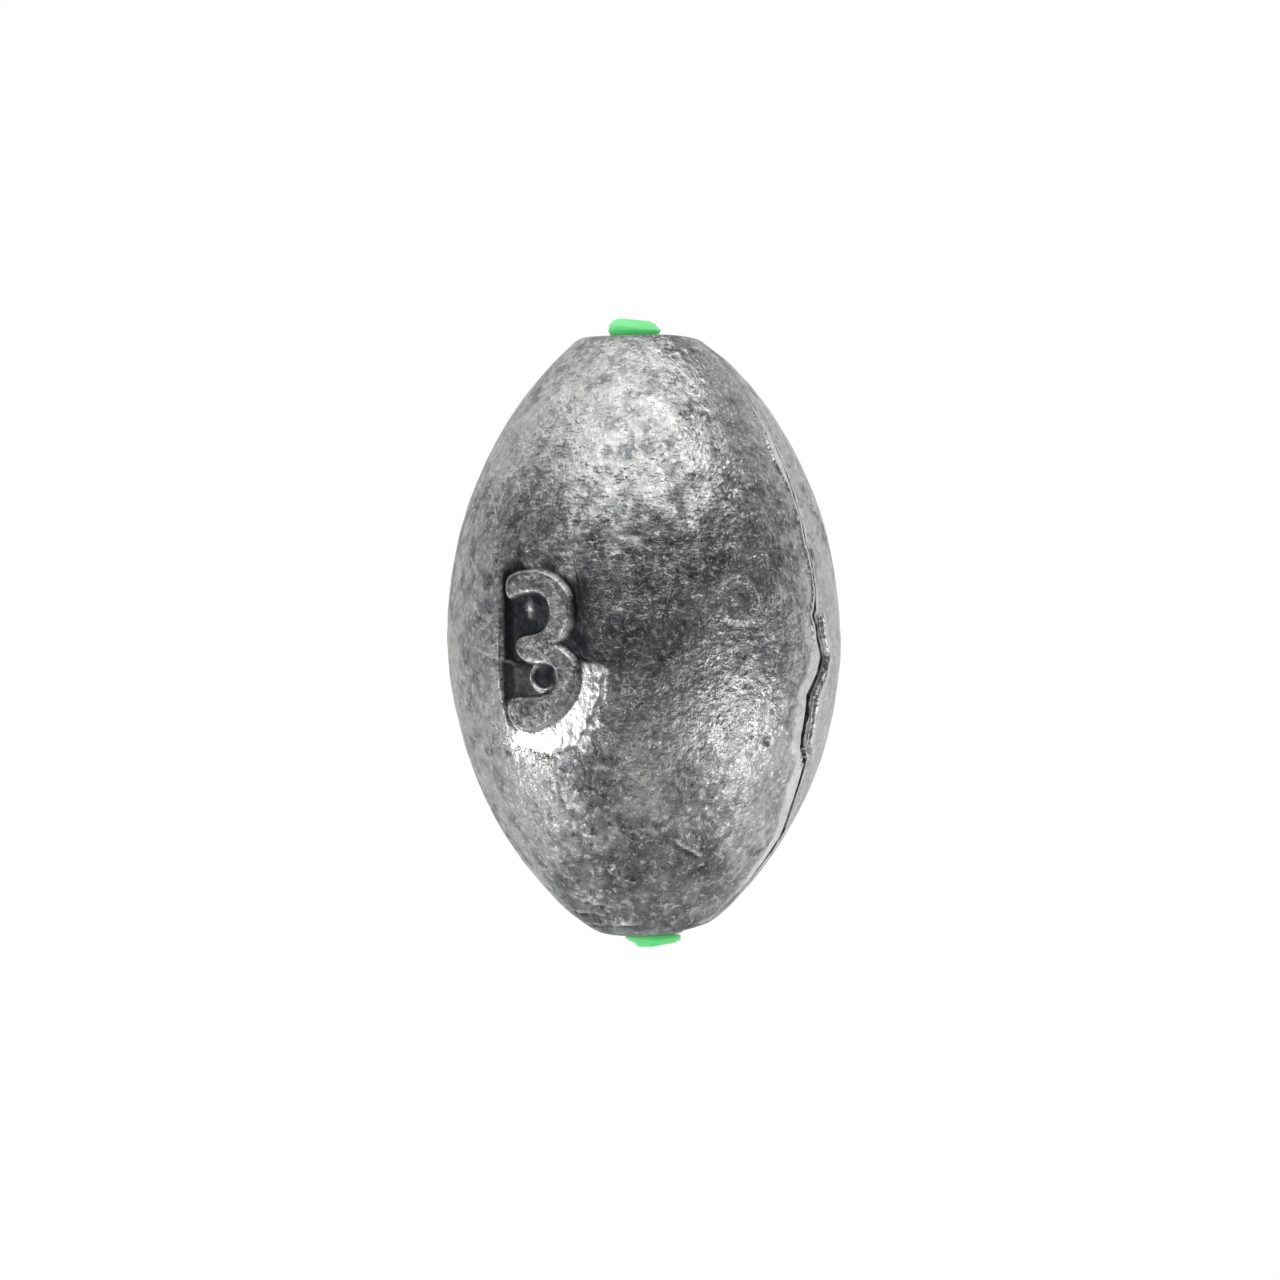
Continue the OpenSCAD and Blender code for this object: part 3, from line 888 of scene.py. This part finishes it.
class Graph:
    """Node graph of a material or of the surroundings, built from short calls."""

    def __init__(self, owner: Material | bpy.types.World) -> None:
        """Empties the owner's graph.

        Args:
            owner: material or world that the graph belongs to.
        """
        self.owner = owner
        owner.use_nodes = True
        self.tree = owner.node_tree
        self.tree.nodes.clear()

    def node(self, kind: str, values: Values | None = None, **settings: object) -> Node:
        """Adds a node.

        Args:
            kind: node type without its ShaderNode prefix.
            values: values or sockets for its inputs, by name or number.
            settings: properties of the node.

        Returns:
            The node.
        """
        made = self.tree.nodes.new("ShaderNode" + kind)
        for name, value in settings.items():
            setattr(made, name, value)
        for name, value in (values or {}).items():
            if isinstance(value, Socket):
                self.tree.links.new(value, made.inputs[name])
            else:
                made.inputs[name].default_value = value
        return made

    def math(self, operation: str, *parts: Socket | float, clamp: bool = False) -> Socket:
        """Adds a Math node and gives its result."""
        return self.node("Math", dict(enumerate(parts)), operation=operation, use_clamp=clamp).outputs[0]

    def times(self, one: Socket, other: Socket | float) -> Socket:
        """Multiplies two values."""
        return self.math("MULTIPLY", one, other)

    def most(self, one: Socket | float, other: Socket) -> Socket:
        """Gives the larger of two values."""
        return self.math("MAXIMUM", one, other)

    def sum(self, *parts: tuple[Socket, float]) -> Socket:
        """Adds up values, each with its own weight.

        Args:
            parts: the values and their weights.

        Returns:
            The sum.
        """
        total = 0.0
        for value, weight in parts:
            total = self.math("MULTIPLY_ADD", value, weight, total)
        return total

    def vector(self, operation: str, *parts: Socket | Triple) -> Socket:
        """Adds a Vector Math node and gives its result."""
        made = self.node("VectorMath", dict(enumerate(parts)), operation=operation)
        return made.outputs["Value" if operation == "DOT_PRODUCT" else "Vector"]

    def placed(self, where: Socket, scale: Triple = (1.0,) * 3, turn: Triple = (0.0,) * 3) -> Socket:
        """Scales and turns the places at which a pattern is read."""
        return self.node("Mapping", {"Vector": where, "Scale": scale, "Rotation": turn}).outputs[0]

    def millimetres(self) -> Socket:
        """Gives the places on the piece in millimetres."""
        return self.placed(self.node("TexCoord").outputs["Object"], (1.0 / MM,) * 3)

    def noise(self, where: Socket, scale: float, detail: float = 2.0, rough: float = 0.5,
              twist: float = 0.0, output: int = 0) -> Socket:
        """Adds a Noise texture and gives its value or, as output 1, three values as a vector."""
        values = {"Vector": where, "Scale": scale, "Detail": detail, "Roughness": rough, "Distortion": twist}
        return self.node("TexNoise", values).outputs[output]

    def span(self, value: Socket, low: float, high: float, to_low: float = 0.0,
             to_high: float = 1.0) -> Socket:
        """Adds a smooth Map Range node and gives its result."""
        values = {"Value": value, "From Min": low, "From Max": high, "To Min": to_low, "To Max": to_high}
        return self.node("MapRange", values, interpolation_type="SMOOTHSTEP").outputs[0]

    def mix(self, share: Socket, one: Socket | Colour, other: Socket | Colour) -> Socket:
        """Adds a colour Mix node and gives its colour."""
        return self.node("Mix", {0: share, 6: one, 7: other}, data_type="RGBA", clamp_factor=True).outputs[2]

    def mark(self, name: str) -> Socket:
        """Reads one of the mesh's own point attributes."""
        return self.node("Attribute", attribute_name=name).outputs["Fac"]

    def close(self, shader: Node, output: str = "OutputMaterial") -> bpy.types.ID:
        """Links the shader to the output and gives the graph's owner."""
        self.node(output, {0: shader.outputs[0]})
        return self.owner


@dataclass(frozen=True)
class LeadFinish:
    """Cast lead: grey oxide in blotches, worn bright on what stands proud, scratched and grained, with
    painted highlights and painted shade laid into its colour.
    """

    # Darkest colour, for grime and for painted shade
    dirt_and_shade: Colour = (0.01, 0.012, 0.016, 1.0)
    soot: Colour = (0.085, 0.09, 0.095, 1.0)
    black: Colour = (0.18, 0.187, 0.194, 1.0)
    oxide: Colour = (0.27, 0.278, 0.285, 1.0)
    plain: Colour = (0.43, 0.432, 0.434, 1.0)
    pale: Colour = (0.6, 0.592, 0.582, 1.0)
    bright: Colour = (0.9, 0.892, 0.885, 1.0)
    grain_height: float = 0.00004

    def material(self) -> Material:
        """Builds the material."""
        g = Graph(bpy.data.materials.new("lead"))
        mm = g.millimetres()
        patches = g.noise(mm, 0.32, 3.0, 0.55, 0.4)
        blotch = g.noise(mm, 0.95, 3.0, 0.56, 0.5)
        fine = g.noise(mm, 3.2, 2.2, 0.64)
        speck = g.noise(mm, 5.2, 1.0, 0.6, 0.6)
        streak = g.noise(g.placed(mm, (1.0, 1.0, 0.14)), 4.2, 3.0, 0.6)
        wave = g.noise(g.placed(mm, (0.35, 0.35, 1.2), (0.1, 0.0, 0.0)), 3.6, 2.0, 0.6)
        bent = g.vector("ADD", mm, g.noise(mm, 1.7, output=1))
        hammered = g.node("TexVoronoi", {"Vector": bent, "Scale": 1.9}, feature="SMOOTH_F1").outputs[0]
        frayed = g.vector("MULTIPLY_ADD", g.noise(mm, 4.0, 1.0, output=1), (0.35, 0.35, 0.35), mm)
        flake = g.node("TexVoronoi", {"Vector": frayed, "Scale": 3.8}).outputs
        tilt = g.vector("SUBTRACT", frayed, flake["Position"])
        facet = g.vector("DOT_PRODUCT", tilt, g.vector("SUBTRACT", flake["Color"], (0.5, 0.5, 0.5)))
        cell = g.node("SeparateXYZ", {0: flake["Color"]}).outputs[0]
        # Marks from the skin: bright metal with painted highlights, oxide with painted shade, and stains
        # mixed with painted shading
        rub_and_highlight, dark, patina_and_shading = g.mark("burnish"), g.mark("oxide"), g.mark("patina_and_shading")
        # The hammered cells' low borders darken the tone a little, as painted shade
        tone = g.sum((patches, 0.3), (blotch, 0.5), (fine, 0.08), (streak, 0.14), (hammered, -0.05),
                     (cell, 0.04), (patina_and_shading, 0.13))
        base = self.soot
        for share, low, high, colour in (
            (g.sum((tone, 1.0), (fine, 0.35)), 0.36, 0.6, self.black),
            (tone, 0.33, 0.47, self.oxide),
            (tone, 0.4, 0.56, self.plain),
            (g.sum((tone, 1.0), (fine, 0.4)), 0.64, 0.86, self.pale),
        ):
            base = g.mix(g.span(share, low, high), base, colour)
        flecks = g.span(g.sum((cell, 1.0), (fine, 0.6), (patina_and_shading, 0.03)), 1.14, 1.2)
        flecks = g.times(flecks, g.span(speck, 0.36, 0.5))
        contour = g.math("ABSOLUTE", g.math("SUBTRACT", g.noise(mm, 1.5, 2.0, 0.6, 0.8), 0.5))
        wrinkle = g.times(g.span(contour, 0.0, 0.02, 1.0, 0.0), g.span(g.noise(mm, 2.1), 0.46, 0.58))
        lines = g.most(self.scratches(g, mm), g.times(wrinkle, 0.7))
        shine = g.most(g.times(flecks, 0.42), g.times(lines, 0.5))
        base = g.mix(shine, base, self.bright)
        # Worn metal and painted highlights turn bright
        base = g.mix(g.times(rub_and_highlight, g.span(fine, 0.3, 0.6, 0.7, 1.0)), base, self.bright)
        # Hollows of the grain darken as painted shade, and the dark marks darken towards grime and painted
        # shade
        crevice = g.span(g.noise(mm, 2.3, 2.0, 0.6, 0.6), 0.3, 0.41, 1.0, 0.0)
        crevice = g.times(crevice, g.span(tone, 0.3, 0.6, 0.62, 0.25))
        crevice = g.times(crevice, g.math("SUBTRACT", 1.0, rub_and_highlight, clamp=True))
        base = g.mix(g.most(g.times(dark, 0.94), crevice), base, self.dirt_and_shade)
        rough = g.span(tone, 0.36, 0.6, 0.42, 0.31)
        rough = g.sum((rough, 1.0), (shine, -0.08), (rub_and_highlight, -0.08), (dark, 0.08))
        rugged = g.span(g.sum((g.noise(mm, 0.8), 1.0), (patina_and_shading, 0.07)), 0.38, 0.62, 0.25, 1.15)
        relief = g.sum((blotch, 1.2), (fine, 1.4), (speck, 0.4), (hammered, -0.9), (streak, 0.5),
                       (lines, -0.3), (wave, 0.8), (crevice, -0.6), (wrinkle, 0.7),
                       (g.times(facet, rugged), 6.0))
        calm = g.math("SUBTRACT", 1.0, g.times(g.most(rub_and_highlight, dark), 0.75))
        bump = g.node("Bump", {"Strength": calm, "Distance": self.grain_height, "Height": relief})
        return g.close(g.node("BsdfPrincipled", {"Base Color": base, "Metallic": 1.0, "Roughness": rough,
                                                 "Normal": bump.outputs[0]}))

    def scratches(self, g: Graph, mm: Socket) -> Socket:
        """Thin scratches in three directions.

        Args:
            g: graph of the material.
            mm: places in millimetres.

        Returns:
            The share of scratched metal.
        """
        found = 0.0
        for tilt, spin, edge in ((0.5, 0.3, 0.71), (-0.7, 0.9, 0.71), (0.12, -0.4, 0.69)):
            drawn = g.placed(g.placed(mm, turn=(tilt, spin, 0.4 * tilt)), (9.0, 9.0, 0.4))
            found = g.most(found, g.span(g.noise(drawn, 1.0, 1.0), edge, edge + 0.05))
        return found


@dataclass(frozen=True)
class SleeveFinish:
    """Green polyethylene, a little cloudy, with a soft gloss, and a painted emission for a pigment that glows
    in daylight.
    """

    body: Colour = (0.1, 0.86, 0.2, 1.0)
    pale: Colour = (0.27, 0.97, 0.38, 1.0)
    painted_glow: float = 0.14
    grain_height: float = 0.00002

    def material(self) -> Material:
        """Builds the material."""
        g = Graph(bpy.data.materials.new("sleeve_green"))
        mm = g.millimetres()
        cloud = g.noise(mm, 1.4, 3.0, 0.55)
        fine = g.noise(mm, 7.0, 3.0, 0.6)
        # Paler on the bottom lip where the tool pushed it, and over the upper lip as painted light
        share = g.sum((g.span(cloud, 0.35, 0.65), 0.35), (g.mark("pressed"), 0.65))
        bump = g.node("Bump", {"Strength": 0.5, "Distance": self.grain_height,
                               "Height": g.sum((fine, 1.0), (cloud, 1.5))})
        # The emission is painted light that makes the green brighter than the lamps light it
        return g.close(g.node("BsdfPrincipled", {
            "Base Color": g.mix(share, self.body, self.pale), "Roughness": g.span(fine, 0.3, 0.7, 0.28, 0.42),
            "Normal": bump.outputs[0], "Subsurface Weight": 0.5, "Subsurface Radius": (0.5, 1.0, 0.55),
            "Subsurface Scale": 0.0008, "Emission Color": self.pale, "Emission Strength": self.painted_glow}))


def new_piece(name: str, bm: BMesh) -> Object:
    """Makes an object from a finished bmesh.

    Args:
        name: name of the piece.
        bm: its mesh, which is freed.

    Returns:
        The object, at the origin.
    """
    mesh = bpy.data.meshes.new(name)
    bm.to_mesh(mesh)
    bm.free()
    piece = bpy.data.objects.new(name, mesh)
    bpy.context.scene.collection.objects.link(piece)
    for face in mesh.polygons:
        face.use_smooth = True
    return piece


@dataclass
class Casting:
    """The lead casting with all its marks."""

    form: EggForm
    parting: PartingLine
    gate: GateScar
    numeral: Numeral
    handling: Handling
    finish: LeadFinish

    def build(self) -> Object:
        """Builds and dresses the casting."""
        piece = new_piece("casting_skin", self.form.spun())
        skin = Skin(piece.data, self.form)
        self.handling.work(skin)
        for mark in MARKS:
            mark.work(skin)
        self.numeral.work(skin)
        behind = self.parting.behind(skin)
        self.gate.work(skin, behind)
        self.parting.work(skin, behind)
        skin.store(piece.data)
        piece.data.materials.append(self.finish.material())
        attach(piece, "casting")
        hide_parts("cast_body")
        return piece


@dataclass
class Sleeve:
    """The green sleeve, flared over at both its ends."""

    finish: SleeveFinish
    sleeve_d: float = 2.4
    bore_d: float = 1.4
    seat: float = 16.38
    top_lip_d: float = 2.86
    top_lip_h: float = 0.86
    # Roll of the upper lip: how far in from its edge, and how far above the seat
    top_roll: tuple[Pair, ...] = ((0.1, 0.0), (0.0, 0.22), (0.06, 0.46), (0.3, 0.72))
    top_end_in: float = 0.58
    bottom_lip_d: float = 3.02
    bottom_lip_h: float = 0.58
    bottom_lip_edge: float = 0.1
    bottom_end_d: float = 2.1
    mouth_r: float = 0.14
    wall_rows: int = 24
    lip_edge_most: float = 0.12
    steps: int = 72

    def outline(self, bm: BMesh) -> None:
        """Draws the closed half section of wall and lips.

        Args:
            bm: empty mesh that takes the section.
        """
        wall, bore, seat = self.sleeve_d / 2, self.bore_d / 2, self.seat
        top_r, low_r = self.top_lip_d / 2, self.bottom_lip_d / 2
        top, low = seat + self.top_lip_h, -seat - self.bottom_lip_h
        corners = (
            (bore, low + self.mouth_r), (bore + self.mouth_r, low), (self.bottom_end_d / 2, low),
            (low_r, -seat - self.bottom_lip_edge), (low_r, -seat), (wall, -seat), (wall, seat),
            *((top_r - inwards, seat + up) for inwards, up in self.top_roll),
            (top_r - self.top_end_in, top), (bore + self.mouth_r, top), (bore, top - self.mouth_r),
        )
        tip = first = bm.verts.new((corners[0][0], 0.0, corners[0][1]))
        for away, height in corners[1:]:
            tip = pull(bm, tip, Vector((away, 0.0, height)) - tip.co)
        bm.edges.new((tip, first))
        long = [edge for edge in bm.edges if edge.calc_length() > seat]
        bmesh.ops.subdivide_edges(bm, edges=long, cuts=self.wall_rows)
        lips = [edge for edge in bm.edges if edge.calc_length() > self.lip_edge_most
                and all(abs(vert.co.z) > seat - self.lip_edge_most for vert in edge.verts)]
        bmesh.ops.subdivide_edges(bm, edges=lips, cuts=2)

    def build(self) -> Object:
        """Builds and dresses the sleeve."""
        bm = bmesh.new()
        self.outline(bm)
        bmesh.ops.spin(bm, geom=bm.verts[:] + bm.edges[:], **ROUND_Z, angle=math.tau, steps=self.steps,
                       use_merge=True)
        clean(bm)
        piece = new_piece("sleeve_flared", bm)
        self.press(piece.data)
        piece.data.materials.append(self.finish.material())
        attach(piece, "sleeve")
        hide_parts("liner_sleeve")
        return piece

    def below(self, near: float, far: float, height: Array) -> Array:
        """Share of what lies under the lower seat: 0 at the near depth, 1 at the far one."""
        return step(-self.seat - near, -self.seat - far, height)

    def press(self, mesh: bpy.types.Mesh) -> None:
        """Makes both lips crooked, as the hot tool left them, and marks where the lips are paler: the bottom
        lip where the tool pushed it, and the whole upper lip, partly as painted light against the shade under
        it.

        Args:
            mesh: mesh of the sleeve in millimetres, which becomes metres.
        """
        place = read_rows(mesh.vertices, "co")
        away, turn = polar(place)
        height = place[:, 2]
        rim = step(self.sleeve_d / 2 - 0.1, self.sleeve_d / 2 + 0.1, away)
        top = step(self.seat + 0.12, self.seat + 0.5, height)
        height += top * (-0.17 * np.sin(turn - 0.2) * away / 1.4 - 0.05)
        lumps = grain(place, 0.8, 2, seed=41)
        facets = np.cos(5.0 * turn + 0.8) * 0.04 + 0.02 * lumps - 0.05
        heavy = np.cos(turn - 2.0)
        push = facets * step(1.1, 1.3, away) + 0.2 * heavy * step(0.75, 0.95, away) * step(1.4, 1.2, away)
        push = rim * 0.03 * lumps + self.below(0.05, 0.3, height) * push
        height -= 0.13 * (1.0 + heavy) * step(1.25, 1.45, away) * self.below(0.04, 0.12, height)
        height += self.below(0.3, 0.5, height) * 0.2 * np.maximum(heavy, 0.0) * np.minimum(away, 1.25) / 1.25
        place[:, :2] *= (1.0 + push / np.maximum(away, 0.1))[:, None]
        # The bottom lip is paler where the tool pushed it; the whole upper lip is made paler, partly as
        # painted light that lifts the shade on its underside
        pressed = np.maximum(self.below(0.22, 0.06, height) * (height < 0) * rim, 0.9 * top)
        write_back(mesh, place, {"pressed": pressed})


@dataclass(frozen=True)
class Softbox:
    """One soft lamp that faces the casting, placed by its turn from -Y towards +X and its rise."""

    name: str
    turn: float
    rise: float
    width: float
    height: float
    radiance: float
    distance: float = 0.5

    def build(self) -> None:
        """Hangs the lamp."""
        turn, rise = math.radians(self.turn), math.radians(self.rise)
        way = Vector((math.sin(turn) * math.cos(rise), -math.cos(turn) * math.cos(rise), math.sin(rise)))
        data = bpy.data.lights.new(self.name, "AREA")
        data.shape = "RECTANGLE"
        data.size, data.size_y = self.width, self.height
        data.energy = self.radiance * math.pi * self.width * self.height
        lamp = bpy.data.objects.new(self.name, data)
        lamp.location = way * self.distance
        lamp.rotation_mode = "QUATERNION"
        lamp.rotation_quaternion = way.to_track_quat("Z", "Y")
        lamp.visible_camera = False
        bpy.context.scene.collection.objects.link(lamp)


@dataclass(frozen=True)
class Studio:
    """Camera at the photograph's place, soft lamps, a pale floor far below and white surroundings."""

    turn: float = 25.4
    roll: float = 1.74
    lens: float = 250.0
    sensor: float = 36.0
    clip: Pair = (0.01, 20.0)
    frame_px: float = 1280.0
    px_per_mm: float = 18.35
    origin_px: Pair = (643.8, 635.0)
    sky: float = 0.05
    floor_down: float = 0.32
    floor_half: float = 4.0
    floor_pale: Colour = (0.9, 0.9, 0.9, 1.0)
    lamps: tuple[Softbox, ...] = (
        Softbox("key", 18.0, 51.0, 0.85, 0.42, 1.4),
        Softbox("over", 22.0, 90.0, 1.2, 0.45, 1.13),
        Softbox("low_left", -46.0, -17.0, 0.13, 0.22, 2.8, 0.35),
        Softbox("lower_left", -62.0, -42.0, 0.14, 0.12, 1.4, 0.35),
        Softbox("low_right", 86.0, -30.0, 0.24, 0.2, 1.95, 0.35),
        Softbox("back_right", 160.0, 5.0, 0.8, 0.75, 0.74),
        Softbox("back_left", -115.0, 8.0, 0.8, 0.75, 0.64),
    )

    def camera(self) -> None:
        """Places the camera."""
        data = bpy.data.cameras.new("camera")
        data.lens, data.sensor_width = self.lens, self.sensor
        data.clip_start, data.clip_end = self.clip
        turn, roll = math.radians(self.turn), math.radians(self.roll)
        across, up = Vector((math.cos(turn), math.sin(turn), 0.0)), Vector((0.0, 0.0, 1.0))
        back = Vector((math.sin(turn), -math.cos(turn), 0.0))
        right = across * math.cos(roll) - up * math.sin(roll)
        above = up * math.cos(roll) + across * math.sin(roll)
        distance = self.frame_px / self.px_per_mm * self.lens / self.sensor
        shift_x = (self.origin_px[0] - self.frame_px / 2) / self.px_per_mm
        shift_y = (self.frame_px / 2 - self.origin_px[1]) / self.px_per_mm
        spot = (back * distance - right * shift_x - above * shift_y) * MM
        camera = bpy.data.objects.new("camera", data)
        camera.matrix_world = Matrix.Translation(spot) @ Matrix((right, above, back)).transposed().to_4x4()
        bpy.context.scene.collection.objects.link(camera)
        bpy.context.scene.camera = camera

    def world(self) -> None:
        """Makes the surroundings: white to the camera, soft grey as light."""
        world = bpy.data.worlds.new("surroundings")
        bpy.context.scene.world = world
        g = Graph(world)
        seen, light = g.node("Background", {0: WHITE}), g.node("Background", {0: WHITE, 1: self.sky})
        self.to_camera(g, light, seen, "OutputWorld")

    def floor(self) -> None:
        """Lays the pale floor."""
        bm = bmesh.new()
        bmesh.ops.create_grid(bm, x_segments=1, y_segments=1, size=self.floor_half)
        bmesh.ops.translate(bm, verts=bm.verts[:], vec=(0.0, 0.0, -self.floor_down))
        piece = new_piece("floor", bm)
        g = Graph(bpy.data.materials.new("floor_pale"))
        pale, white = g.node("BsdfDiffuse", {"Color": self.floor_pale}), g.node("Emission", {"Color": WHITE})
        piece.data.materials.append(self.to_camera(g, pale, white, "OutputMaterial"))

    @staticmethod
    def to_camera(g: Graph, light: Node, seen: Node, output: str) -> bpy.types.ID:
        """Closes a graph with one shader for the camera and another for the light's own paths."""
        ray = g.node("LightPath").outputs["Is Camera Ray"]
        return g.close(g.node("MixShader", {0: ray, 1: light.outputs[0], 2: seen.outputs[0]}), output)

    def build(self) -> None:
        """Builds camera, lamps, floor and surroundings."""
        self.camera()
        self.world()
        self.floor()
        for lamp in self.lamps:
            lamp.build()
        bpy.context.scene.view_settings.view_transform = "Standard"


def main() -> None:
    """Builds the scene piece by piece."""
    logging.basicConfig(level=logging.INFO, format="%(name)s: %(message)s")
    Studio().build()
    casting = Casting(EggForm(), PartingLine(), GateScar(), Numeral(), Handling(), LeadFinish())
    sleeve = Sleeve(SleeveFinish())
    for assembly in (casting, sleeve):
        piece = assembly.build()
        LOG.info("%s: %d points, %d faces", piece.name, len(piece.data.vertices), len(piece.data.polygons))


if __name__ == "__main__":
    main()
